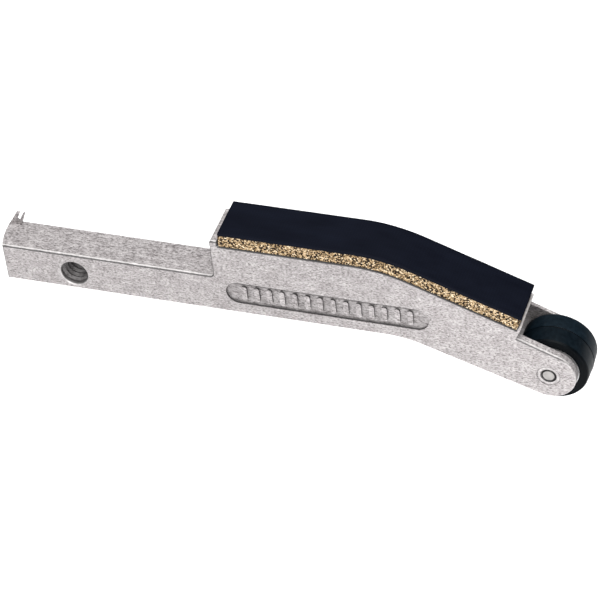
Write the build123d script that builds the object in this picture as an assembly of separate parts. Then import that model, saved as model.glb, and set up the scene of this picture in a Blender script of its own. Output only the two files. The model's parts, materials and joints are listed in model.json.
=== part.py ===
"""Contact arm of a narrow belt sander: a cast arm with a cork pad and a ball-bearing contact wheel.

Frame: the origin is on the axis of the threaded tool hole, half way through the fork.
+X runs along the arm towards the wheel, +Z is the pad side and +Y runs along the wheel's axle.
All sizes are in millimetres.
"""
import os
from math import cos, radians, sin, tan

from build123d import *

# Arm, side view
ARM_WIDTH = 12.7
SHANK_WIDTH = 8.8
SHANK_HEIGHT = 9.5
SHANK_END_X = -16.5
END_BULGE = 1.3
END_CREST = 7.2
BOTTOM_Z = -4.3
STEP_X = 33.5
STEP_FILLET = 1.0
EDGE_ROUND = 0.35
BOTTOM_SLOPE = 19.65
BOTTOM_BEND_RADIUS = 25.0

# Seat lips that keep the pad from sliding off its ends
LIP_LENGTH = 11.2
LEFT_LIP_THICK = 1.9
LEFT_LIP_HEIGHT = 1.3
LEFT_LIP_ROUND = 0.55
RIGHT_LIP_THICK = 0.5
RIGHT_LIP_HEIGHT = 1.1
LIP_GAP = 0.3

# Pad: three glued layers that follow one bend
PAD_WIDTH = 11.2
PAD_TOP_Z = 18.1
PAD_BEND_X = 72.5
PAD_SLOPE = 21.5
PAD_BEND_RADIUS = 38.0
PAD_SLOPE_LENGTH = 32.5
FACING_THICK = 0.65
CORK_THICK = 2.95
ADHESIVE_THICK = 0.3
PAD_THICK = FACING_THICK + CORK_THICK + ADHESIVE_THICK

# Fork and axle
AXLE_X = 108.0
AXLE_Z = -9.3
EAR_RADIUS = 6.0
EAR_TOP_SLOPE = 22.6
NEAR_EAR_THICK = 2.1
FAR_EAR_THICK = 1.05
PIN_RADIUS = 1.5875
PIN_RECESS = 0.1
PIN_CHAMFER = 0.3
PIN_HOLE_CHAMFER = 0.2
SPOT_FACE_RADIUS = 2.65
SPOT_FACE_DEPTH = 0.08

# Threaded tool hole, modelled at its major radius
TOOL_HOLE_RADIUS = 3.175
TOOL_HOLE_CHAMFER = 0.3

# Shallow window on the near face, with plain raised bars
WINDOW_LEFT_X = 36.0
WINDOW_RIGHT_X = 82.1
WINDOW_MIDDLE_Z = 1.5
WINDOW_HEIGHT = 5.9
WINDOW_DEPTH = 0.55
BAR_COUNT = 14
BAR_PITCH = 2.9
BAR_WIDTH = 1.2
BAR_HEIGHT = 4.0
BAR_RISE = 0.45

# Hooked lug on the shank's far corner
LUG_LENGTH = 2.7
LUG_TOP_LENGTH = 2.1
LUG_LEAN = 1.7
LUG_WIDTH = 1.0
LUG_HEIGHT = 2.95
LUG_NOTCH_WIDTH = 0.7
LUG_NOTCH_X = 2.05
LUG_NOTCH_RISE = 1.05
LUG_NOTCH_ANGLE = 26.0
LUG_ROUND = 0.2

# Contact wheel, a little towards the far ear
WHEEL_Y = 0.3
TYRE_HALF_WIDTH = 4.4
TYRE_CROWN_RADIUS = 8.4
TYRE_EDGE_RADIUS = 8.2
TYRE_BEVEL_WIDTH = 0.5
TYRE_BEVEL_RADIUS = 8.05
HUB_RADIUS = 6.2
HUB_HALF_WIDTH = 4.35
HUB_SHOULDER_RADIUS = 4.2
SHIM_RADIUS = 2.5
BEARING_INSET = 0.1

# Ball bearing, 3.175 x 9.525 x 3.967
BEARING_WIDTH = 3.967
BEARING_OUTER_RADIUS = 4.7625
BALL_COUNT = 7
BALL_RADIUS = 0.794
BALL_PITCH_RADIUS = 3.175
BALL_PLAY = 0.02
RACE_RADIUS = 0.83
INNER_SHOULDER_RADIUS = 2.6
OUTER_SHOULDER_RADIUS = 3.75
CAGE_INNER_RADIUS = 2.88
CAGE_OUTER_RADIUS = 3.47
CAGE_WIDTH = 1.9
CAGE_POCKET_RADIUS = 0.84
SHIELD_INNER_RADIUS = 2.75
SHIELD_OUTER_RADIUS = 3.95
SHIELD_THICK = 0.2
SHIELD_DEPTH = 0.2

# Places that follow from the sizes above
NEAR_Y = -ARM_WIDTH / 2
FAR_Y = ARM_WIDTH / 2
SHANK_FAR_Y = NEAR_Y + SHANK_WIDTH
SHANK_TOP_Z = BOTTOM_Z + SHANK_HEIGHT
SEAT_Z = PAD_TOP_Z - PAD_THICK
PAD_START_X = STEP_X + LEFT_LIP_THICK + LIP_GAP
SEAT_END = PAD_SLOPE_LENGTH + LIP_GAP
FORK_START = SEAT_END + RIGHT_LIP_THICK
FORK_NEAR_Y = NEAR_Y + NEAR_EAR_THICK
FORK_FAR_Y = FAR_Y - FAR_EAR_THICK
BEARING_FACE = TYRE_HALF_WIDTH - BEARING_INSET
BEARING_MIDDLE = BEARING_FACE - BEARING_WIDTH / 2
SPACER_HALF_WIDTH = BEARING_MIDDLE - BEARING_WIDTH / 2
BEYOND = 30.0


def pad_point(along, depth):
    """Point on the pad's sloped stretch: distance along it from the bend, and depth below its face."""
    slope = radians(PAD_SLOPE)
    x = PAD_BEND_X + along * cos(slope) - depth * sin(slope)
    z = PAD_TOP_Z - along * sin(slope) - depth * cos(slope)
    return (x, z)


def bend_point(depth):
    """Corner of the pad's line, at a depth below its face."""
    return (PAD_BEND_X - depth * tan(radians(PAD_SLOPE) / 2), PAD_TOP_Z - depth)


def tangent_point(angle, side):
    """Point where a line that falls by angle touches the ear's round end, above or below the axle."""
    x = AXLE_X + side * EAR_RADIUS * sin(radians(angle))
    z = AXLE_Z + side * EAR_RADIUS * cos(radians(angle))
    return (x, z)


def wall_foot():
    """Point where the fork's end wall, square to the sloped seat, meets the ears' top line."""
    ear_top = tangent_point(EAR_TOP_SLOPE, 1)
    x, z = pad_point(FORK_START, PAD_THICK)
    slope = radians(PAD_SLOPE)
    fall = tan(radians(EAR_TOP_SLOPE))
    drop = (z - ear_top[1] - (ear_top[0] - x) * fall) / (cos(slope) + sin(slope) * fall)
    return pad_point(FORK_START, PAD_THICK + drop)


def round_corner(face, corner, radius):
    """Round the corner of a flat face that is nearest to a point."""
    vertex = face.vertices().sort_by_distance((*corner, 0))[0]
    return fillet(vertex, radius)


def slab(face, low_y, high_y):
    """Stand a side-view face up and give it a thickness from low_y to high_y."""
    standing = Plane.XZ.offset(-high_y) * face
    return extrude(standing, high_y - low_y)


def across(radius, low_y, high_y, x=0.0, z=0.0):
    """Cylinder whose axis runs along Y."""
    middle = Pos(x, (low_y + high_y) / 2, z) * Rot(90, 0, 0)
    return middle * Cylinder(radius, high_y - low_y)


def ring(outer, inner, low_y, high_y):
    """Plain ring on the wheel's axle."""
    tube = across(outer, low_y, high_y, AXLE_X, AXLE_Z)
    return tube - across(inner, low_y - 1, high_y + 1, AXLE_X, AXLE_Z)


def turned(points):
    """Solid turned about the axle from a section given as (radius, distance along Y) points."""
    section = make_face(Polyline(*points, close=True))
    axis = Axis((0, 0, 0), (0, 1, 0))
    return Pos(AXLE_X, 0, AXLE_Z) * revolve(section, axis, 360)


def block_face():
    """Side view of the block and the fork."""
    ear_bottom = tangent_point(BOTTOM_SLOPE, -1)
    bottom_bend_x = ear_bottom[0] - (BOTTOM_Z - ear_bottom[1]) / tan(radians(BOTTOM_SLOPE))
    outline = [
        (STEP_X, BOTTOM_Z),
        (STEP_X, SEAT_Z + LEFT_LIP_HEIGHT),
        (STEP_X + LEFT_LIP_THICK, SEAT_Z + LEFT_LIP_HEIGHT),
        (STEP_X + LEFT_LIP_THICK, SEAT_Z),
        bend_point(PAD_THICK),
        pad_point(FORK_START, PAD_THICK),
        wall_foot(),
        tangent_point(EAR_TOP_SLOPE, 1),
        ear_bottom,
        (bottom_bend_x, BOTTOM_Z),
    ]
    face = make_face(Polyline(*outline, close=True))
    face = round_corner(face, (bottom_bend_x, BOTTOM_Z), BOTTOM_BEND_RADIUS)
    face = round_corner(face, bend_point(PAD_THICK), PAD_BEND_RADIUS - PAD_THICK)
    for corner_x in (STEP_X, STEP_X + LEFT_LIP_THICK):
        face = round_corner(face, (corner_x, SEAT_Z + LEFT_LIP_HEIGHT), LEFT_LIP_ROUND)
    return face + Pos(AXLE_X, AXLE_Z) * Circle(EAR_RADIUS)


def shank_face():
    """Side view of the square shank, run a little way into the block."""
    left = SHANK_END_X - END_BULGE
    right = STEP_X + 5.0
    face = make_face(Polyline((left, BOTTOM_Z), (right, BOTTOM_Z), (right, SHANK_TOP_Z),
                              (left, SHANK_TOP_Z), close=True))
    corner = make_face(Polyline((STEP_X, SHANK_TOP_Z), (STEP_X, SHANK_TOP_Z + STEP_FILLET),
                                (STEP_X - STEP_FILLET, SHANK_TOP_Z), close=True))
    hollow = Pos(STEP_X - STEP_FILLET, SHANK_TOP_Z + STEP_FILLET) * Circle(STEP_FILLET)
    return face + (corner - hollow)


def rounded_end_cutter():
    """What is outside the shank's gently curved end, whose crest is nearer the far side."""
    radius = (END_CREST ** 2 + END_BULGE ** 2) / (2 * END_BULGE)
    left = SHANK_END_X - END_BULGE
    crest_y = NEAR_Y + END_CREST
    block = Pos(left, crest_y, 0) * Box(4, 2 * SHANK_WIDTH, 2 * BEYOND)
    return block - Pos(left + radius, crest_y, 0) * Cylinder(radius, 2 * BEYOND)


def edges_at(solid, y):
    """Edges that lie flat in the plane at y."""
    return [edge for edge in solid.edges() if all(abs(v.Y - y) < 1e-4 for v in edge.vertices())
            and abs(edge.center().Y - y) < 1e-4]


def fork_gap():
    """Slot between the ears, square to the sloped seat."""
    x, z = pad_point(FORK_START, 0)
    middle_y = (FORK_NEAR_Y + FORK_FAR_Y) / 2
    slot = Box(BEYOND, FORK_FAR_Y - FORK_NEAR_Y, 4 * BEYOND)
    return Pos(x, middle_y, z) * Rot(0, PAD_SLOPE, 0) * Pos(BEYOND / 2, 0, 0) * slot


def left_lip_trim():
    """Far end of the left lip, which stops level with the pad."""
    return Pos(STEP_X + 1.0, NEAR_Y + LIP_LENGTH + 2, SEAT_Z + 2.0) * Box(3.0, 4, 4.0)


def right_lip():
    """Thin lip between the pad's lower end and the fork."""
    low = PAD_THICK + EDGE_ROUND
    high = PAD_THICK - RIGHT_LIP_HEIGHT
    corners = [pad_point(SEAT_END, low), pad_point(SEAT_END, high),
               pad_point(FORK_START, high), pad_point(FORK_START, low)]
    return slab(make_face(Polyline(*corners, close=True)), NEAR_Y, NEAR_Y + LIP_LENGTH)


def near_window():
    """Shallow window in the near face, less the plain bars that stand in it."""
    half = (WINDOW_RIGHT_X - WINDOW_LEFT_X) / 2
    middle_x = WINDOW_LEFT_X + half
    place = Pos(middle_x, WINDOW_MIDDLE_Z)
    window = slab(place * SlotOverall(2 * half, WINDOW_HEIGHT), NEAR_Y, NEAR_Y + WINDOW_DEPTH)
    bars = []
    for index in range(BAR_COUNT):
        x = middle_x + (index - (BAR_COUNT - 1) / 2) * BAR_PITCH
        bar_face = Pos(x, WINDOW_MIDDLE_Z) * Rot(0, 0, 90) * SlotOverall(BAR_HEIGHT, BAR_WIDTH)
        bars.append(slab(bar_face, NEAR_Y + WINDOW_DEPTH - BAR_RISE, NEAR_Y + WINDOW_DEPTH))
    return window - bars


def lug():
    """Small hooked lug that leans from the far corner of the shank's end, with a leaning notch."""
    left = SHANK_END_X - END_BULGE + 0.15
    right = left + LUG_LENGTH
    top = SHANK_TOP_Z + LUG_HEIGHT
    top_left = left + LUG_LEAN
    top_right = top_left + LUG_TOP_LENGTH
    face = make_face(Polyline((left, SHANK_TOP_Z - 1), (right, SHANK_TOP_Z - 1), (right, SHANK_TOP_Z),
                              (top_right, top), (top_left, top), (left, SHANK_TOP_Z), close=True))
    for corner_x in (top_left, top_right):
        face = round_corner(face, (corner_x, top), LUG_ROUND)
    foot = Pos(left + LUG_NOTCH_X, SHANK_TOP_Z + LUG_NOTCH_RISE)
    face = face - foot * Circle(LUG_NOTCH_WIDTH / 2)
    face = face - foot * Rot(0, 0, -LUG_NOTCH_ANGLE) * Pos(0, 2.5) * Rectangle(LUG_NOTCH_WIDTH, 5)
    return slab(face, SHANK_FAR_Y - LUG_WIDTH, SHANK_FAR_Y)


def countersink(radius, depth, x, z, face_y, inward):
    """Cone that breaks the edge of a hole along Y at the face at face_y."""
    cone = Cone(radius + depth, radius, depth)
    turn = Rot(-90, 0, 0) if inward > 0 else Rot(90, 0, 0)
    return Pos(x, face_y + inward * depth / 2, z) * turn * cone


def arm_casting():
    """Cast arm: shank, block and fork in one piece, with its holes, window, lips and lug."""
    arm = slab(block_face(), NEAR_Y, FAR_Y) + slab(shank_face(), NEAR_Y, SHANK_FAR_Y)
    arm = arm - rounded_end_cutter()
    arm = fillet(edges_at(arm, NEAR_Y), EDGE_ROUND)
    arm = fillet(edges_at(arm, FAR_Y), EDGE_ROUND)
    arm = arm - left_lip_trim()
    arm = arm + right_lip()
    arm = arm + lug()
    arm = arm - fork_gap()
    arm = arm - across(TOOL_HOLE_RADIUS, NEAR_Y - 1, SHANK_FAR_Y + 1)
    arm = arm - countersink(TOOL_HOLE_RADIUS, TOOL_HOLE_CHAMFER, 0, 0, NEAR_Y, 1)
    arm = arm - countersink(TOOL_HOLE_RADIUS, TOOL_HOLE_CHAMFER, 0, 0, SHANK_FAR_Y, -1)
    arm = arm - across(PIN_RADIUS, NEAR_Y - 1, FAR_Y + 1, AXLE_X, AXLE_Z)
    for face_y, inward in ((NEAR_Y, 1), (FAR_Y, -1)):
        arm = arm - across(SPOT_FACE_RADIUS, face_y - SPOT_FACE_DEPTH, face_y + SPOT_FACE_DEPTH,
                           AXLE_X, AXLE_Z)
        arm = arm - countersink(PIN_RADIUS, PIN_HOLE_CHAMFER + SPOT_FACE_DEPTH, AXLE_X, AXLE_Z,
                                face_y, inward)
    return arm - near_window()


def pad_layer(top_depth, bottom_depth):
    """One glued layer of the pad, between two depths below its face."""
    outline = [
        (PAD_START_X, PAD_TOP_Z - top_depth),
        bend_point(top_depth),
        pad_point(PAD_SLOPE_LENGTH, top_depth),
        pad_point(PAD_SLOPE_LENGTH, bottom_depth),
        bend_point(bottom_depth),
        (PAD_START_X, PAD_TOP_Z - bottom_depth),
    ]
    face = make_face(Polyline(*outline, close=True))
    face = round_corner(face, bend_point(top_depth), PAD_BEND_RADIUS - top_depth)
    face = round_corner(face, bend_point(bottom_depth), PAD_BEND_RADIUS - bottom_depth)
    return slab(face, NEAR_Y, NEAR_Y + PAD_WIDTH)


def axle_pin():
    """Plain pin pressed through both ears, just below their faces, with chamfered ends."""
    end = ARM_WIDTH / 2 - PIN_RECESS
    flat = PIN_RADIUS - PIN_CHAMFER
    return turned([(0, -end), (flat, -end), (PIN_RADIUS, -end + PIN_CHAMFER),
                   (PIN_RADIUS, end - PIN_CHAMFER), (flat, end), (0, end)])


def wheel_tyre():
    """Rubber tyre: two gentle cones that meet in a crown, with bevelled rims."""
    inner = TYRE_HALF_WIDTH - TYRE_BEVEL_WIDTH
    tyre = turned([(HUB_RADIUS, -TYRE_HALF_WIDTH), (TYRE_BEVEL_RADIUS, -TYRE_HALF_WIDTH),
                   (TYRE_EDGE_RADIUS, -inner), (TYRE_CROWN_RADIUS, 0), (TYRE_EDGE_RADIUS, inner),
                   (TYRE_BEVEL_RADIUS, TYRE_HALF_WIDTH), (HUB_RADIUS, TYRE_HALF_WIDTH)])
    return Pos(0, WHEEL_Y, 0) * tyre


def wheel_hub():
    """Metal hub with a bearing seat at each side of a middle shoulder."""
    seat = BEARING_OUTER_RADIUS
    hub = turned([(seat, -HUB_HALF_WIDTH), (HUB_RADIUS, -HUB_HALF_WIDTH),
                  (HUB_RADIUS, HUB_HALF_WIDTH), (seat, HUB_HALF_WIDTH),
                  (seat, SPACER_HALF_WIDTH), (HUB_SHOULDER_RADIUS, SPACER_HALF_WIDTH),
                  (HUB_SHOULDER_RADIUS, -SPACER_HALF_WIDTH), (seat, -SPACER_HALF_WIDTH)])
    return Pos(0, WHEEL_Y, 0) * hub


def race(groove_radius, middle_y):
    """Doughnut that cuts a ball groove."""
    return Pos(AXLE_X, middle_y, AXLE_Z) * Rot(90, 0, 0) * Torus(groove_radius, RACE_RADIUS)


def inner_ring(middle_y):
    """Bearing's inner ring, fixed on the pin."""
    half = BEARING_WIDTH / 2
    body = ring(INNER_SHOULDER_RADIUS, PIN_RADIUS, middle_y - half, middle_y + half)
    groove_bottom = BALL_PITCH_RADIUS - BALL_RADIUS - BALL_PLAY
    return body - race(groove_bottom + RACE_RADIUS, middle_y)


def outer_ring(middle_y):
    """Bearing's outer ring, with a recess at each side for a shield."""
    half = BEARING_WIDTH / 2
    recess = SHIELD_DEPTH + SHIELD_THICK
    body = ring(BEARING_OUTER_RADIUS, OUTER_SHOULDER_RADIUS, middle_y - half, middle_y + half)
    for low_y in (middle_y - half - 1, middle_y + half - recess):
        body = body - across(SHIELD_OUTER_RADIUS, low_y, low_y + recess + 1, AXLE_X, AXLE_Z)
    groove_bottom = BALL_PITCH_RADIUS + BALL_RADIUS + BALL_PLAY
    return body - race(groove_bottom - RACE_RADIUS, middle_y)


def ball_places(middle_y):
    """Places of one bearing's balls, each with its local X pointing out from the axle."""
    centre = Pos(AXLE_X, middle_y, AXLE_Z)
    step = 360 / BALL_COUNT
    return [centre * Rot(0, index * step, 0) * Pos(BALL_PITCH_RADIUS, 0, 0)
            for index in range(BALL_COUNT)]


def balls(middle_y):
    """Group of separate balls."""
    return Compound([place * Sphere(BALL_RADIUS) for place in ball_places(middle_y)])


def cage(middle_y):
    """Ring with a round pocket for each ball."""
    half = CAGE_WIDTH / 2
    body = ring(CAGE_OUTER_RADIUS, CAGE_INNER_RADIUS, middle_y - half, middle_y + half)
    for place in ball_places(middle_y):
        body = body - place * Rot(0, 90, 0) * Cylinder(CAGE_POCKET_RADIUS, 2 * BALL_RADIUS)
    return body


def shield(middle_y, side):
    """Thin ring that closes one side of a bearing."""
    outside = middle_y + side * (BEARING_WIDTH / 2 - SHIELD_DEPTH)
    inside = outside - side * SHIELD_THICK
    low_y, high_y = sorted((outside, inside))
    return ring(SHIELD_OUTER_RADIUS, SHIELD_INNER_RADIUS, low_y, high_y)


def build_nodes():
    """Every sub-part by name."""
    cork_top = FACING_THICK
    cork_bottom = FACING_THICK + CORK_THICK
    nodes = {
        "arm_casting": arm_casting(),
        "pad_adhesive": pad_layer(cork_bottom, PAD_THICK),
        "cork_pad": pad_layer(cork_top, cork_bottom),
        "pad_facing": pad_layer(0, cork_top),
        "axle_pin": axle_pin(),
        "near_shim": ring(SHIM_RADIUS, PIN_RADIUS, FORK_NEAR_Y, WHEEL_Y - BEARING_FACE),
        "far_shim": ring(SHIM_RADIUS, PIN_RADIUS, WHEEL_Y + BEARING_FACE, FORK_FAR_Y),
        "bearing_spacer": ring(INNER_SHOULDER_RADIUS, PIN_RADIUS, WHEEL_Y - SPACER_HALF_WIDTH,
                               WHEEL_Y + SPACER_HALF_WIDTH),
        "wheel_tyre": wheel_tyre(),
        "wheel_hub": wheel_hub(),
    }
    for name, side in (("near", -1), ("far", 1)):
        middle_y = WHEEL_Y + side * BEARING_MIDDLE
        nodes[name + "_inner_ring"] = inner_ring(middle_y)
        nodes[name + "_outer_ring"] = outer_ring(middle_y)
        nodes[name + "_balls"] = balls(middle_y)
        nodes[name + "_cage"] = cage(middle_y)
        nodes[name + "_outside_shield"] = shield(middle_y, side)
        nodes[name + "_inside_shield"] = shield(middle_y, -side)
    return nodes


os.makedirs("parts", exist_ok=True)
for node_name, shape in build_nodes().items():
    export_step(shape, "parts/" + node_name + ".step")
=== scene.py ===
"""Looks of a narrow belt sander's contact arm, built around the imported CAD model."""
import json
import math

import bmesh
import bpy
from mathutils import Matrix, Vector, noise


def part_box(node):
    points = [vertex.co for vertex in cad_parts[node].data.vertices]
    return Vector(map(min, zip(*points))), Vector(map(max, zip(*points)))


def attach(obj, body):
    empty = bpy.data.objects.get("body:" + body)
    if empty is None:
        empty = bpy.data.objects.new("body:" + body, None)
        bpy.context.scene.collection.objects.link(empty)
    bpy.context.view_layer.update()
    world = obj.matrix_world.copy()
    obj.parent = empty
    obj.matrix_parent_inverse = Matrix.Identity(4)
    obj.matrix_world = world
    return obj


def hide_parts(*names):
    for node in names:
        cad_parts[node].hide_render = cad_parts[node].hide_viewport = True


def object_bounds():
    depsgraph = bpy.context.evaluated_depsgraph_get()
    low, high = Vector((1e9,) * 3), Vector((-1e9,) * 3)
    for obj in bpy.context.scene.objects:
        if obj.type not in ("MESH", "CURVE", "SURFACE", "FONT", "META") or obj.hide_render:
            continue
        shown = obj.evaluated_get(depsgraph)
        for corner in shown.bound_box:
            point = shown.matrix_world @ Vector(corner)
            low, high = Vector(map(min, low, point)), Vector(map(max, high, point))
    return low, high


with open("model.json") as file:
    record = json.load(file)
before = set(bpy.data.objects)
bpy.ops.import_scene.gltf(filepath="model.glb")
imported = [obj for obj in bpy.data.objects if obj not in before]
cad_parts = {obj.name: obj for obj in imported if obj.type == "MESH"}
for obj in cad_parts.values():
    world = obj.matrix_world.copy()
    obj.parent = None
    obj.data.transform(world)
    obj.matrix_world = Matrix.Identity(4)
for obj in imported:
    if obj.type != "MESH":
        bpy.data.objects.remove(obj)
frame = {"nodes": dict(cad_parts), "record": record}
cad_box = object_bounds()

MM = 0.001

# Bend of the pad, the same as in the CAD model
PAD_BEND_X = 72.5 * MM
PAD_SLOPE = math.radians(21.5)
PAD_BEND_RADIUS = 38.0 * MM
PAD_SLOPE_LENGTH = 32.5 * MM
FACING_THICK = 0.65 * MM
CORK_THICK = 2.95 * MM
CORK_GRAINS_PER_METRE = 3300

# Tyre
TYRE_CROWN_RADIUS = 8.4 * MM
TYRE_EDGE_RADIUS = 8.2 * MM
TYRE_BEVEL_WIDTH = 0.5 * MM
TYRE_BEVEL_RADIUS = 8.05 * MM
CROWN_LINE_Y = 0.3 * MM
RIM_BAND_Y = -3.6 * MM
TYRE_STEPS = 160

# Thread in the tool hole: quarter inch, 20 turns to the inch
THREAD_PITCH = 1.27 * MM
THREAD_MAJOR = 3.2 * MM
THREAD_MINOR = 2.6 * MM
THREAD_STEPS = 40
THREAD_START = 0.35 * MM
THREAD_LENGTH = 8.1 * MM
TOOL_HOLE_RADIUS = 3.175 * MM

# Places on the casting that the material darkens or brightens
FORK_WALL_AWAY = 33.3 * MM
FORK_MIDDLE_Y = 0.525 * MM
FORK_HALF_GAP = 4.775 * MM
WINDOW_LEFT_X = 36.0 * MM
WINDOW_RIGHT_X = 82.1 * MM
WINDOW_MIDDLE_Z = 1.5 * MM
WINDOW_HEIGHT = 5.9 * MM
PIN_FLAT_RADIUS = 1.29 * MM
PIN_GROOVE_RADIUS = 1.8 * MM
SPOT_RING_RADIUS = 2.55 * MM
# Painted highlight line behind the near edges: its distance in from the near face and its width
HIGHLIGHT_LINE_DEPTH = 0.52 * MM
HIGHLIGHT_LINE_WIDTH = 0.28 * MM
PAD_START_X = 35.7 * MM
PAD_UNDER_Z = 14.5 * MM

# Camera
CAMERA_AZIMUTH = math.radians(22.4)
CAMERA_ELEVATION = math.radians(41.9)
CAMERA_ROLL = math.radians(6.9)
CAMERA_DISTANCE = 0.654
CAMERA_LENS = 179.4
CAMERA_RIGHT = 1.47 * MM
CAMERA_UP = -3.24 * MM

# Studio
FLOOR_HALF_SIZE = 4.0
FLOOR_DROP = 0.06


# ---------------------------------------------------------------- node materials

class Nodes:
    """A new material and short calls that add nodes to it."""

    def __init__(self, name):
        self.material = bpy.data.materials.new(name)
        self.material.use_nodes = True
        self.tree = self.material.node_tree
        self.shader = self.tree.nodes["Principled BSDF"]
        self.position = self.add("ShaderNodeTexCoord").outputs["Object"]

    def add(self, kind, **settings):
        node = self.tree.nodes.new(kind)
        for key, value in settings.items():
            setattr(node, key, value)
        return node

    def link(self, source, target):
        self.tree.links.new(source, target)

    def stretched(self, scale):
        """Position stretched by a different amount along each axis."""
        node = self.add("ShaderNodeMapping")
        node.inputs["Scale"].default_value = scale
        self.link(self.position, node.inputs["Vector"])
        return node.outputs["Vector"]

    def noise(self, scale, detail=3.0, roughness=0.55, vector=None):
        node = self.add("ShaderNodeTexNoise")
        node.inputs["Scale"].default_value = scale
        node.inputs["Detail"].default_value = detail
        node.inputs["Roughness"].default_value = roughness
        self.link(vector or self.position, node.inputs["Vector"])
        return node.outputs["Fac"]

    def cells(self, scale, feature="F1", vector=None, output="Distance"):
        node = self.add("ShaderNodeTexVoronoi", feature=feature)
        node.inputs["Scale"].default_value = scale
        self.link(vector or self.position, node.inputs["Vector"])
        return node.outputs[output]

    def ramp(self, factor, stops):
        """Colour ramp through (place, (red, green, blue)) stops."""
        node = self.add("ShaderNodeValToRGB")
        elements = node.color_ramp.elements
        while len(elements) < len(stops):
            elements.new(0.5)
        for element, (place, colour) in zip(elements, stops):
            element.position = place
            element.color = (*colour, 1)
        self.link(factor, node.inputs["Fac"])
        return node.outputs["Color"]

    def spread(self, factor, low, high, from_low=0.3, from_high=0.7):
        """Factor mapped from one range to another."""
        node = self.add("ShaderNodeMapRange")
        node.inputs["From Min"].default_value = from_low
        node.inputs["From Max"].default_value = from_high
        node.inputs["To Min"].default_value = low
        node.inputs["To Max"].default_value = high
        self.link(factor, node.inputs["Value"])
        return node.outputs["Result"]

    def mix(self, factor, first, second, blend="MIX"):
        node = self.add("ShaderNodeMix", data_type="RGBA", blend_type=blend)
        if isinstance(factor, float):
            node.inputs["Factor"].default_value = factor
        else:
            self.link(factor, node.inputs["Factor"])
        self.link(first, node.inputs["A"])
        self.link(second, node.inputs["B"])
        return node.outputs["Result"]

    def math(self, operation, first, second):
        node = self.add("ShaderNodeMath", operation=operation)
        for socket, value in zip(node.inputs, (first, second)):
            if isinstance(value, (int, float)):
                socket.default_value = value
            else:
                self.link(value, socket)
        return node.outputs[0]

    def part(self, vector, axis):
        """One component of a vector."""
        node = self.add("ShaderNodeSeparateXYZ")
        self.link(vector, node.inputs[0])
        return node.outputs[axis]

    def facing(self, axis):
        """How far a surface faces along an axis, from -1 to 1, in the piece's own frame."""
        return self.part(self.add("ShaderNodeTexCoord").outputs["Normal"], axis)

    def band(self, value, middle, half, soft):
        """1 within half of the middle, falling to 0 over a soft edge."""
        gap = self.math("ABSOLUTE", self.math("SUBTRACT", value, middle), 0.0)
        return self.spread(gap, 1.0, 0.0, half, half + soft)

    def within(self, *masks):
        """All of the masks together."""
        total = masks[0]
        for mask in masks[1:]:
            total = self.math("MULTIPLY", total, mask)
        return total

    def from_line(self, centre_x, centre_z):
        """Distance from a line that runs along Y."""
        across = self.math("SUBTRACT", self.part(self.position, "X"), centre_x)
        up = self.math("SUBTRACT", self.part(self.position, "Z"), centre_z)
        return self.math("SQRT", self.math("ADD", self.math("MULTIPLY", across, across),
                                           self.math("MULTIPLY", up, up)), 0.0)

    def tint(self, colour, mask, amount, target):
        """Colour moved towards a grey target where the mask is 1."""
        paint = self.add("ShaderNodeRGB")
        paint.outputs[0].default_value = (*grey(target, 0.02), 1)
        return self.mix(self.math("MULTIPLY", mask, amount), colour, paint.outputs[0])

    def darken(self, colour, mask, amount):
        """Colour multiplied by a grey amount where the mask is 1."""
        shade = self.ramp(mask, [(0.0, (1.0, 1.0, 1.0)), (1.0, (amount, amount, amount))])
        return self.mix(1.0, colour, shade, "MULTIPLY")

    def bump(self, height, strength, distance, under=None):
        node = self.add("ShaderNodeBump")
        node.inputs["Strength"].default_value = strength
        node.inputs["Distance"].default_value = distance
        self.link(height, node.inputs["Height"])
        if under:
            self.link(under, node.inputs["Normal"])
        return node.outputs["Normal"]

    def finish(self, colour, roughness, normal=None, metallic=0.0, **sockets):
        self.link(colour, self.shader.inputs["Base Color"])
        self.link(roughness, self.shader.inputs["Roughness"])
        if normal:
            self.link(normal, self.shader.inputs["Normal"])
        self.shader.inputs["Metallic"].default_value = metallic
        for key, value in sockets.items():
            self.shader.inputs[key.replace("_", " ")].default_value = value
        return self.material


def grey(value, warm=0.0):
    """Near-grey colour, a little warmer or cooler."""
    return (value * (1 + warm), value, value * (1 - 0.6 * warm))


def window_masks(n, x, y, z, low_y):
    """Walls of the recessed window and of its bars, the window's floor, and the floor's upper edge."""
    middle_x = (WINDOW_LEFT_X + WINDOW_RIGHT_X) / 2
    half_x = (WINDOW_RIGHT_X - WINDOW_LEFT_X) / 2
    inside = n.within(n.band(x, middle_x, half_x + 0.1 * MM, 0.05 * MM),
                      n.band(z, WINDOW_MIDDLE_Z, WINDOW_HEIGHT / 2 + 0.1 * MM, 0.05 * MM),
                      n.band(y, low_y, 1.0 * MM, 0.1 * MM))
    side_wall = n.spread(n.math("ABSOLUTE", n.facing("Y"), 0.0), 1.0, 0.0, 0.5, 0.9)
    sunk = n.spread(y, 0.0, 1.0, low_y + 0.3 * MM, low_y + 0.5 * MM)
    top = WINDOW_MIDDLE_Z + WINDOW_HEIGHT / 2
    floor = n.within(inside, sunk)
    brow = n.within(floor, n.spread(z, 0.0, 1.0, top - 0.95 * MM, top - 0.75 * MM))
    return n.within(inside, side_wall), floor, brow


def fork_wall_place():
    """Distance of the fork's end wall along the sloped seat's direction, from the row's origin."""
    top_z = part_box("pad_facing")[1].z
    return PAD_BEND_X * math.cos(PAD_SLOPE) - top_z * math.sin(PAD_SLOPE) + FORK_WALL_AWAY


def highlight_line_mask(n, y, low_y):
    """Painted highlight: a thin bright line behind the near edge of every surface that faces up."""
    line = n.band(y, low_y + HIGHLIGHT_LINE_DEPTH, HIGHLIGHT_LINE_WIDTH / 2, 0.06 * MM)
    return n.within(line, n.spread(n.facing("Z"), 0.0, 1.0, 0.5, 0.8))


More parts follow.
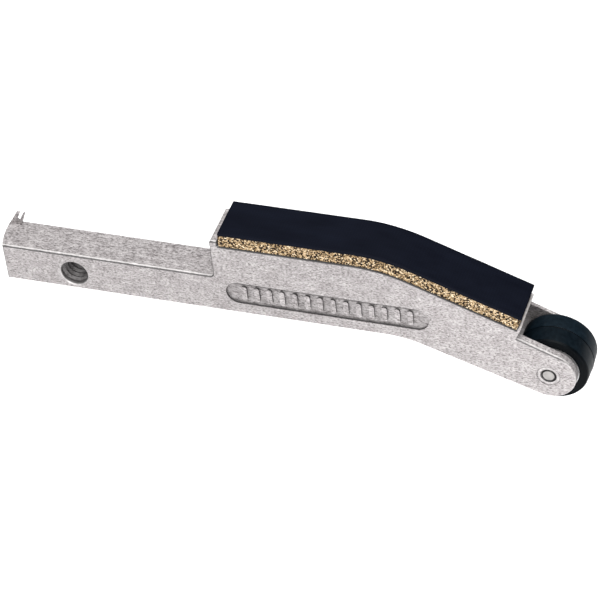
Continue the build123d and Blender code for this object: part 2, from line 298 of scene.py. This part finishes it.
def cast_metal():
    """Tumbled casting: finely mottled grey with dull pits.

    Some light and shade is painted by place, so it stays under any lighting: the fork, tool hole,
    window and pin groove, the gap at the pad's start, the rings round the pin, the lines along the near
    edges and lips, and the darker shank end.
    """
    n = Nodes("cast_metal")
    low_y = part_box("arm_casting")[0].y
    axle = axle_place()
    x, y, z = (n.part(n.position, axis) for axis in "XYZ")
    blotch = n.noise(420, 4.0, 0.6)
    fleck = n.noise(3000, 2.0, 0.75, n.stretched((0.5, 1.0, 1.0)))
    smear = n.noise(1100, 3.0, 0.6, n.stretched((0.22, 1.0, 1.2)))
    base = n.ramp(blotch, [(0.3, (0.35, 0.328, 0.328)), (0.5, (0.41, 0.388, 0.388)),
                           (0.7, (0.47, 0.447, 0.445))])
    fine = n.ramp(fleck, [(0.34, (0.24, 0.22, 0.22)), (0.47, (0.84, 0.83, 0.83)),
                          (0.58, (1.08, 1.08, 1.08)), (0.68, (1.5, 1.5, 1.5))])
    colour = n.mix(0.85, base, fine, "MULTIPLY")
    streak = n.ramp(smear, [(0.35, (0.74, 0.72, 0.72)), (0.55, (1.0, 1.0, 1.0)),
                            (0.68, (1.2, 1.2, 1.2))])
    colour = n.mix(0.6, colour, streak, "MULTIPLY")
    away = n.math("SUBTRACT", n.math("MULTIPLY", x, math.cos(PAD_SLOPE)),
                  n.math("MULTIPLY", z, math.sin(PAD_SLOPE)))
    wall = fork_wall_place()
    fork = n.within(n.band(y, FORK_MIDDLE_Y, FORK_HALF_GAP + 0.02 * MM, 0.02 * MM),
                    n.spread(away, 0.0, 1.0, wall - 0.06 * MM, wall - 0.02 * MM))
    hole = n.spread(n.from_line(0.0, 0.0), 1.0, 0.0, TOOL_HOLE_RADIUS + 0.04 * MM,
                    TOOL_HOLE_RADIUS + 0.08 * MM)
    from_axle = n.from_line(axle.x, axle.z)
    groove = n.band(from_axle, (PIN_FLAT_RADIUS + PIN_GROOVE_RADIUS) / 2,
                    (PIN_GROOVE_RADIUS - PIN_FLAT_RADIUS) / 2, 0.05 * MM)
    walls, floor, brow = window_masks(n, x, y, z, low_y)
    lip_top = n.within(n.band(away, wall - 0.25 * MM, 0.2 * MM, 0.04 * MM),
                       n.spread(n.facing("Z"), 0.0, 1.0, 0.5, 0.8))
    near_round = n.within(n.band(n.facing("Y"), -0.63, 0.3, 0.05),
                          n.band(y, low_y, 0.36 * MM, 0.03 * MM))
    lee = n.spread(n.math("SUBTRACT", n.facing("Z"), n.facing("X")), 0.0, 1.0, 0.05, 0.3)
    beyond_hole = n.spread(n.from_line(0.0, 0.0), 0.0, 1.0, 3.5 * MM, 3.6 * MM)
    pad_gap = n.within(n.band(x, PAD_START_X - 0.3 * MM, 0.3 * MM, 0.04 * MM),
                       n.spread(z, 0.0, 1.0, PAD_UNDER_Z - 0.25 * MM, PAD_UNDER_Z - 0.1 * MM))
    # Painted shade: darker towards the shank end.
    colour = n.darken(colour, n.spread(x, 1.0, 0.0, 60.0 * MM, 92.0 * MM), 0.87)
    # Painted highlight on the rounded near edges.
    colour = n.tint(colour, near_round, 0.3, 0.66)
    # Painted shade: a dark line on the rounded near edges that turn up more than towards +X, beyond the
    # tool hole.
    colour = n.darken(colour, n.within(near_round, lee, beyond_hole), 0.2)
    # Painted highlight on the lip tops at the fork's end wall.
    colour = n.tint(colour, lip_top, 0.5, 0.75)
    # Painted highlight: a bright line behind the near edge of each surface that faces up.
    colour = n.tint(colour, highlight_line_mask(n, y, low_y), 0.55, 0.8)
    # Painted highlight: a bright ring round the pin.
    colour = n.tint(colour, n.band(from_axle, 2.1 * MM, 0.2 * MM, 0.1 * MM), 0.16, 0.75)
    # Painted shade in the gap under the pad's start.
    colour = n.darken(colour, pad_gap, 0.15)
    # Painted shade in the fork, the tool hole and the groove round the pin.
    colour = n.darken(colour, fork, 0.5)
    colour = n.darken(colour, hole, 0.34)
    colour = n.darken(colour, groove, 0.2)
    # Painted shade: a thin dark ring at the edge of the spot face round the pin.
    colour = n.darken(colour, n.band(from_axle, SPOT_RING_RADIUS, 0.08 * MM, 0.06 * MM), 0.62)
    # Painted shade on the window's walls, floor and upper edge.
    colour = n.darken(colour, walls, 0.2)
    colour = n.darken(colour, floor, 0.82)
    colour = n.darken(colour, brow, 0.5)
    rough = n.spread(fleck, 0.42, 0.62)
    normal = n.bump(blotch, 0.25, 0.00012)
    normal = n.bump(fleck, 0.5, 0.00006, normal)
    return n.finish(colour, rough, normal, 0.5)


def cork():
    """Granules of cork: tan and cream grains with dark bark specks and gaps between."""
    n = Nodes("cork")
    grain = n.cells(CORK_GRAINS_PER_METRE, output="Color")
    edge = n.cells(CORK_GRAINS_PER_METRE, "DISTANCE_TO_EDGE")
    pick = n.add("ShaderNodeSeparateColor")
    n.link(grain, pick.inputs["Color"])
    colour = n.ramp(pick.outputs["Red"], [
        (0.0, (0.006, 0.003, 0.001)), (0.34, (0.018, 0.011, 0.006)), (0.42, (0.19, 0.125, 0.06)),
        (0.58, (0.33, 0.23, 0.125)), (0.82, (0.53, 0.39, 0.23)), (1.0, (0.85, 0.72, 0.52))])
    gap = n.ramp(edge, [(0.0, (0.22, 0.14, 0.08)), (0.08, (1.0, 1.0, 1.0))])
    colour = n.mix(0.8, colour, gap, "MULTIPLY")
    mottled = n.ramp(n.noise(4600, 3.0, 0.7), [(0.3, (0.40, 0.33, 0.25)), (0.55, (1.0, 1.0, 1.0))])
    colour = n.mix(0.6, colour, mottled, "MULTIPLY")
    rough = n.spread(n.noise(3000), 0.75, 0.95)
    normal = n.bump(edge, 0.4, 0.00008)
    return n.finish(colour, rough, normal, Specular_IOR_Level=0.2)


def facing():
    """Graphite coated canvas: almost black, a faint plain weave under the coat, dull sheen."""
    n = Nodes("facing")
    waves = []
    for direction in ("X", "Y"):
        wave = n.add("ShaderNodeTexWave", wave_type="BANDS", bands_direction=direction)
        wave.inputs["Scale"].default_value = 520
        wave.inputs["Distortion"].default_value = 0.6
        wave.inputs["Detail"].default_value = 1.0
        n.link(n.position, wave.inputs["Vector"])
        waves.append(wave.outputs["Fac"])
    weave = n.math("MULTIPLY", waves[0], waves[1])
    smear = n.noise(260, 3.0, 0.6, n.stretched((0.35, 1.0, 1.0)))
    colour = n.ramp(smear, [(0.3, (0.0015, 0.0022, 0.0055)), (0.7, (0.0030, 0.0042, 0.0090))])
    thread = n.ramp(weave, [(0.1, (0.75, 0.75, 0.78)), (0.7, (1.15, 1.15, 1.15))])
    colour = n.mix(0.7, colour, thread, "MULTIPLY")
    rough = n.spread(smear, 0.5, 0.68)
    normal = n.bump(weave, 0.12, 0.00005)
    return n.finish(colour, rough, normal, Specular_IOR_Level=0.05)


def adhesive():
    """Dark contact glue, slightly uneven."""
    n = Nodes("adhesive")
    lump = n.noise(1800, 3.0)
    colour = n.ramp(lump, [(0.3, (0.003, 0.0025, 0.002)), (0.7, (0.012, 0.010, 0.008))])
    return n.finish(colour, n.spread(lump, 0.4, 0.7), n.bump(lump, 0.5, 0.0001))


def tyre_rubber():
    """Ground rubber: blue-black, with fine rings from the grinding.

    Painted shade: the near half and near rim are darker than the far half, with a dark line at the crown.
    """
    n = Nodes("tyre_rubber")
    y = n.part(n.position, "Y")
    dust = n.noise(900, 4.0, 0.65)
    rings = n.noise(9000, 2.0, 0.6, n.stretched((0.02, 1.0, 0.02)))
    colour = n.ramp(dust, [(0.35, (0.0022, 0.0048, 0.0075)), (0.75, (0.0060, 0.0115, 0.0168))])
    # Painted shade: the near half, the crown line and the near rim are darker.
    near_half = n.spread(y, 1.0, 0.0, CROWN_LINE_Y - 0.1 * MM, CROWN_LINE_Y + 0.1 * MM)
    near_rim = n.spread(y, 1.0, 0.0, RIM_BAND_Y - 0.1 * MM, RIM_BAND_Y + 0.1 * MM)
    colour = n.darken(colour, near_half, 0.68)
    colour = n.darken(colour, n.band(y, CROWN_LINE_Y, 0.09 * MM, 0.06 * MM), 0.25)
    colour = n.darken(colour, near_rim, 0.35)
    rough = n.spread(dust, 0.34, 0.5)
    normal = n.bump(rings, 0.12, 0.00004)
    normal = n.bump(dust, 0.15, 0.00005, normal)
    return n.finish(colour, rough, normal, Specular_IOR_Level=0.05)


def turned_metal(name, value, warm=0.0, low=0.22, high=0.38, rim=None):
    """Turned or ground metal with fine rings across its axis, with painted shade beyond a radius from the
    axle.
    """
    n = Nodes(name)
    lines = n.noise(7000, 3.0, 0.6, n.stretched((0.15, 1.0, 0.15)))
    stain = n.noise(500, 3.0)
    colour = n.ramp(stain, [(0.3, grey(value * 0.82, warm)), (0.7, grey(value, warm))])
    if rim:
        # Painted shade of the groove round the pin, over the pin's outer edge.
        axle = axle_place()
        beyond = n.spread(n.from_line(axle.x, axle.z), 0.0, 1.0, rim - 0.05 * MM, rim)
        colour = n.darken(colour, beyond, 0.15)
    return n.finish(colour, n.spread(lines, low, high), n.bump(lines, 0.15, 0.00002), 0.9)


def floor_paint():
    """Pale seamless paper."""
    n = Nodes("floor_paper")
    tooth = n.noise(60, 3.0)
    colour = n.ramp(tooth, [(0.3, (0.90, 0.90, 0.90)), (0.7, (0.93, 0.93, 0.93))])
    return n.finish(colour, n.spread(tooth, 0.85, 0.95))


# ---------------------------------------------------------------- mesh helpers

def piece_from(bm, name, material, body, smooth=True):
    """Object made of a bmesh, riding on a body and finished as a record slot."""
    bmesh.ops.recalc_face_normals(bm, faces=bm.faces)
    mesh = bpy.data.meshes.new(name)
    bm.to_mesh(mesh)
    bm.free()
    for polygon in mesh.polygons:
        polygon.use_smooth = smooth
    mesh.materials.append(material)
    obj = bpy.data.objects.new(name, mesh)
    bpy.context.scene.collection.objects.link(obj)
    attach(obj, body)
    return obj


def join_rows(bm, rows, closed_rows):
    """Faces between neighbouring rows of vertices."""
    for first, second in zip(rows, rows[1:]):
        count = len(first)
        for index in range(count if closed_rows else count - 1):
            after = (index + 1) % count
            bm.faces.new((first[index], first[after], second[after], second[index]))


def arc(centre, radius, start, end, steps):
    """Points of an arc in a plane, with both its ends."""
    points = []
    for index in range(steps + 1):
        angle = start + (end - start) * index / steps
        points.append((centre[0] + radius * math.cos(angle), centre[1] + radius * math.sin(angle)))
    return points


# ---------------------------------------------------------------- pad

def pad_frame():
    """Start, top and two sides of the pad, read from the CAD facing."""
    low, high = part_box("pad_facing")
    return low.x, high.z, low.y, high.y


def pad_line_length():
    """Where the flat stretch, the bend and the whole pad end, along the pad's face."""
    start_x = pad_frame()[0]
    tangent = PAD_BEND_RADIUS * math.tan(PAD_SLOPE / 2)
    flat = PAD_BEND_X - tangent - start_x
    bend_end = flat + PAD_BEND_RADIUS * PAD_SLOPE
    return flat, bend_end, bend_end + PAD_SLOPE_LENGTH - tangent


def on_pad(along, depth):
    """Point in the side view: distance along the pad's face, and depth below it."""
    start_x, top_z = pad_frame()[:2]
    flat, bend_end, length = pad_line_length()
    if along <= flat:
        return start_x + along, top_z - depth
    centre_x = start_x + flat
    centre_z = top_z - PAD_BEND_RADIUS
    turn = min((along - flat) / PAD_BEND_RADIUS, PAD_SLOPE)
    x = centre_x + (PAD_BEND_RADIUS - depth) * math.sin(turn)
    z = centre_z + (PAD_BEND_RADIUS - depth) * math.cos(turn)
    rest = max(0.0, along - bend_end)
    return x + rest * math.cos(PAD_SLOPE), z - rest * math.sin(PAD_SLOPE)


def slab_section(low_y, high_y, top, bottom, corner, side_steps, face_steps):
    """Closed outline (y, depth) of a layer with small rounded corners."""
    points = []
    corners = ((high_y - corner, top + corner), (high_y - corner, bottom - corner),
               (low_y + corner, bottom - corner), (low_y + corner, top + corner))
    starts = (-math.pi / 2, 0, math.pi / 2, math.pi)
    loop = []
    for centre, start in zip(corners, starts):
        loop.append(arc(centre, corner, start, start + math.pi / 2, 2))
    for index, part in enumerate(loop):
        points.extend(part)
        following = loop[(index + 1) % 4][0]
        steps = side_steps if index % 2 == 0 else face_steps
        last = part[-1]
        for step in range(1, steps):
            share = step / steps
            points.append((last[0] + (following[0] - last[0]) * share,
                           last[1] + (following[1] - last[1]) * share))
    return points


def bent_layer(section, length_steps, end_round, rough):
    """Closed bmesh: a section carried along the pad's bend, roughened by a function of place."""
    length = pad_line_length()[2]
    bm = bmesh.new()
    middle_y = sum(y for y, _ in section) / len(section)
    middle_depth = sum(depth for _, depth in section) / len(section)
    places = [0.0] + [end_round + (length - 2 * end_round) * i / length_steps
                      for i in range(length_steps + 1)] + [length]
    rows = []
    for number, along in enumerate(places):
        shrink = end_round * 0.6 if number in (0, len(places) - 1) else 0.0
        row = []
        for y, depth in section:
            y_in = y - math.copysign(min(shrink, abs(y - middle_y)), y - middle_y)
            depth_in = depth - math.copysign(min(shrink, abs(depth - middle_depth)),
                                             depth - middle_depth)
            x, z = on_pad(along, depth_in)
            point = Vector((x, y_in, z))
            row.append(bm.verts.new(point + rough(point, y_in - middle_y)))
        rows.append(row)
    join_rows(bm, rows, True)
    bm.faces.new(rows[0])
    bm.faces.new(list(reversed(rows[-1])))
    return bm


def cork_pad(material):
    """Cork layer with torn grains standing out of and missing from its cut sides."""
    low_y, high_y = pad_frame()[2:]
    inset = 0.05 * MM
    section = slab_section(low_y + inset, high_y - inset, FACING_THICK, FACING_THICK + CORK_THICK,
                           0.08 * MM, 12, 4)

    def rough(point, side):
        if abs(side) <= (high_y - low_y) / 2 - 0.2 * MM:
            return Vector((0, 0, 0))
        lump = noise.noise(point / (0.55 * MM)) + 0.6 * noise.noise(point / (0.25 * MM))
        depth = max(-0.11, min(0.045, 0.08 * lump))
        return Vector((0, math.copysign(1, side) * depth * MM, 0))

    bm = bent_layer(section, 330, 0.12 * MM, rough)
    obj = piece_from(bm, "cork_granule_pad", material, "arm")
    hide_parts("cork_pad")
    return obj


def facing_sheet(material):
    """Canvas facing over the cork, with a softly frayed cut edge."""
    low_y, high_y = pad_frame()[2:]
    section = slab_section(low_y, high_y, 0.0, FACING_THICK, 0.16 * MM, 3, 24)

    def rough(point, side):
        edge = abs(side) > (high_y - low_y) / 2 - 0.1 * MM
        swell = 0.03 * MM * noise.noise(point / (6 * MM))
        fray = 0.03 * MM * noise.noise(point / (0.4 * MM)) if edge else 0.0
        return Vector((0, math.copysign(fray, side), swell - 0.03 * MM))

    bm = bent_layer(section, 150, 0.15 * MM, rough)
    obj = piece_from(bm, "canvas_facing", material, "arm")
    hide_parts("pad_facing")
    return obj


# ---------------------------------------------------------------- wheel and thread

def axle_place():
    """Point on the axle in the arm's middle plane."""
    low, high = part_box("wheel_hub")
    return (low + high) / 2


def tyre_profile():
    """Outer profile (distance along Y, radius) of the tyre from rim to rim, and the hub's radius."""
    low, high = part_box("wheel_tyre")
    half = (high.y - low.y) / 2
    hub_low, hub_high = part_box("wheel_hub")
    hub_radius = (hub_high.z - hub_low.z) / 2
    inner = half - TYRE_BEVEL_WIDTH
    soft = 0.18 * MM
    ridge = 0.05 * MM
    right = [(half, hub_radius + 0.1 * MM), (half, TYRE_BEVEL_RADIUS - soft),
             (half - soft * 0.3, TYRE_BEVEL_RADIUS - soft * 0.3),
             (half - soft, TYRE_BEVEL_RADIUS + 0.02 * MM)]
    right += [(inner + 0.08 * MM, TYRE_EDGE_RADIUS - 0.03 * MM), (inner, TYRE_EDGE_RADIUS),
              (inner - 0.08 * MM, TYRE_EDGE_RADIUS + 0.008 * MM)]
    right += [(0.25 * MM, TYRE_CROWN_RADIUS - 0.025 * MM), (0.10 * MM, TYRE_CROWN_RADIUS - ridge),
              (0.04 * MM, TYRE_CROWN_RADIUS)]
    left = [(-y, radius) for y, radius in reversed(right)]
    return left + right, hub_radius


def tyre(material):
    """Crowned rubber tyre with a fine ridge at the crown and bevelled, softened rims."""
    profile, hub_radius = tyre_profile()
    loop = profile + [(profile[-1][0] - 0.1 * MM, hub_radius),
                      (profile[0][0] + 0.1 * MM, hub_radius)]
    centre = axle_place()
    bm = bmesh.new()
    rows = []
    for step in range(TYRE_STEPS):
        angle = 2 * math.pi * step / TYRE_STEPS
        points = [Vector((radius * math.cos(angle), y, radius * math.sin(angle))) for y, radius in loop]
        rows.append([bm.verts.new(centre + point) for point in points])
    join_rows(bm, rows + [rows[0]], True)
    obj = piece_from(bm, "crowned_tyre", material, "wheel")
    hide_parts("wheel_tyre")
    mark_sharp(obj, 14)
    return obj


def mark_sharp(obj, degrees):
    """Shade smooth, but keep edges sharper than an angle."""
    limit = math.radians(degrees)
    bm = bmesh.new()
    bm.from_mesh(obj.data)
    for edge in bm.edges:
        edge.smooth = len(edge.link_faces) == 2 and edge.calc_face_angle() < limit
    bm.to_mesh(obj.data)
    bm.free()


def thread(material):
    """Thread ridges in the tool hole, as one closed helix."""
    low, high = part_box("arm_casting")
    near_y = low.y + THREAD_START
    far_y = near_y + THREAD_LENGTH
    crest = 0.09 * MM
    root = 0.56 * MM
    section = [(-root, THREAD_MAJOR), (-crest, THREAD_MINOR),
               (crest, THREAD_MINOR), (root, THREAD_MAJOR)]
    turns = (far_y - near_y - 2 * root) / THREAD_PITCH
    steps = int(turns * THREAD_STEPS)
    bm = bmesh.new()
    rows = []
    for step in range(steps + 1):
        angle = 2 * math.pi * step / THREAD_STEPS
        middle = near_y + root + THREAD_PITCH * step / THREAD_STEPS
        fade = min(1.0, step / (THREAD_STEPS / 4), (steps - step) / (THREAD_STEPS / 4))
        row = []
        for along, radius in section:
            shrunk = THREAD_MAJOR + (radius - THREAD_MAJOR) * max(fade, 0.05)
            row.append(bm.verts.new((shrunk * math.cos(angle), middle + along, shrunk * math.sin(angle))))
        rows.append(row)
    join_rows(bm, rows, True)
    bm.faces.new(rows[0])
    bm.faces.new(list(reversed(rows[-1])))
    return piece_from(bm, "tool_hole_thread", material, "arm", smooth=False)


# ---------------------------------------------------------------- CAD nodes

def paint_nodes(materials):
    """Procedural material on every CAD node, by the record's slot."""
    slots = {part["node"]: part["material_slot"] for part in frame["record"]["subparts"]}
    for name, obj in frame["nodes"].items():
        obj.data.materials.clear()
        obj.data.materials.append(materials[slots[name]])


# ---------------------------------------------------------------- studio

def camera():
    """Long lens, seen from the window side, above and a little from the wheel's end."""
    low, high = (Vector(corner) for corner in cad_box)
    centre = (low + high) / 2
    azimuth, elevation, roll = CAMERA_AZIMUTH, CAMERA_ELEVATION, CAMERA_ROLL
    back = Vector((math.sin(azimuth) * math.cos(elevation), -math.cos(azimuth) * math.cos(elevation),
                   math.sin(elevation)))
    level = Vector((math.cos(azimuth), math.sin(azimuth), 0))
    rise = back.cross(level)
    right = level * math.cos(roll) - rise * math.sin(roll)
    up = level * math.sin(roll) + rise * math.cos(roll)
    place = centre + right * CAMERA_RIGHT + up * CAMERA_UP + back * CAMERA_DISTANCE
    data = bpy.data.cameras.new("camera")
    data.lens = CAMERA_LENS
    data.sensor_width = 36
    data.clip_start = 0.01
    obj = bpy.data.objects.new("camera", data)
    obj.matrix_world = Matrix((right, up, back)).transposed().to_4x4()
    obj.location = place
    bpy.context.scene.collection.objects.link(obj)
    bpy.context.scene.camera = obj


def softbox(name, place, target, size, power):
    """Square area light aimed at a point."""
    data = bpy.data.lights.new(name, "AREA")
    data.size = size
    data.energy = power
    obj = bpy.data.objects.new(name, data)
    obj.location = place
    obj.rotation_euler = (Vector(target) - Vector(place)).to_track_quat("-Z", "Y").to_euler()
    bpy.context.scene.collection.objects.link(obj)


def room(tree):
    """Surroundings that are bright on the window side and dim beyond the wheel and behind."""
    way = tree.nodes.new("ShaderNodeTexCoord").outputs["Generated"]
    turn = tree.nodes.new("ShaderNodeVectorMath")
    turn.operation = "DOT_PRODUCT"
    turn.inputs[1].default_value = Vector((-0.6, -0.7, 0.35)).normalized()
    tree.links.new(way, turn.inputs[0])
    strength = tree.nodes.new("ShaderNodeMapRange")
    strength.inputs["From Min"].default_value = -0.6
    strength.inputs["From Max"].default_value = 0.8
    strength.inputs["To Min"].default_value = 0.12
    strength.inputs["To Max"].default_value = 0.9
    tree.links.new(turn.outputs["Value"], strength.inputs["Value"])
    tree.nodes["Background"].inputs["Color"].default_value = (1, 1, 1, 1)
    tree.links.new(strength.outputs["Result"], tree.nodes["Background"].inputs["Strength"])


def studio():
    """Pale floor well below the arm, the room around it and two large softboxes."""
    low, high = (Vector(corner) for corner in cad_box)
    centre = (low + high) / 2
    bm = bmesh.new()
    half, floor_z = FLOOR_HALF_SIZE, low.z - FLOOR_DROP
    corners = [(-half, -half), (half, -half), (half, half), (-half, half)]
    bm.faces.new([bm.verts.new((centre.x + x, centre.y + y, floor_z)) for x, y in corners])
    mesh = bpy.data.meshes.new("floor")
    bm.to_mesh(mesh)
    bm.free()
    floor = bpy.data.objects.new("floor", mesh)
    mesh.materials.append(floor_paint())
    bpy.context.scene.collection.objects.link(floor)
    world = bpy.data.worlds.new("studio")
    bpy.context.scene.world = world
    world.use_nodes = True
    room(world.node_tree)
    softbox("key", centre + Vector((0.2, -0.65, 0.75)), centre, 0.6, 10.0)
    softbox("top", centre + Vector((0.1, 0.05, 0.94)), centre, 0.7, 9.5)
    bpy.context.scene.view_settings.view_transform = "Standard"


# ---------------------------------------------------------------- scene

camera()
studio()
materials = {
    "cast_metal": cast_metal(),
    "adhesive": adhesive(),
    "cork": cork(),
    "facing": facing(),
    "pin_steel": turned_metal("pin_steel", 0.38, 0.04, 0.5, 0.65, PIN_FLAT_RADIUS),
    "bearing_steel": turned_metal("bearing_steel", 0.6),
    "cage_brass": turned_metal("cage_brass", 0.5, 0.35),
    "shield_steel": turned_metal("shield_steel", 0.5),
    "hub_metal": turned_metal("hub_metal", 0.58),
    "tyre_rubber": tyre_rubber(),
}
paint_nodes(materials)
cork_piece = cork_pad(materials["cork"])
facing_sheet(materials["facing"])
tyre(materials["tyre_rubber"])
thread(materials["cast_metal"])
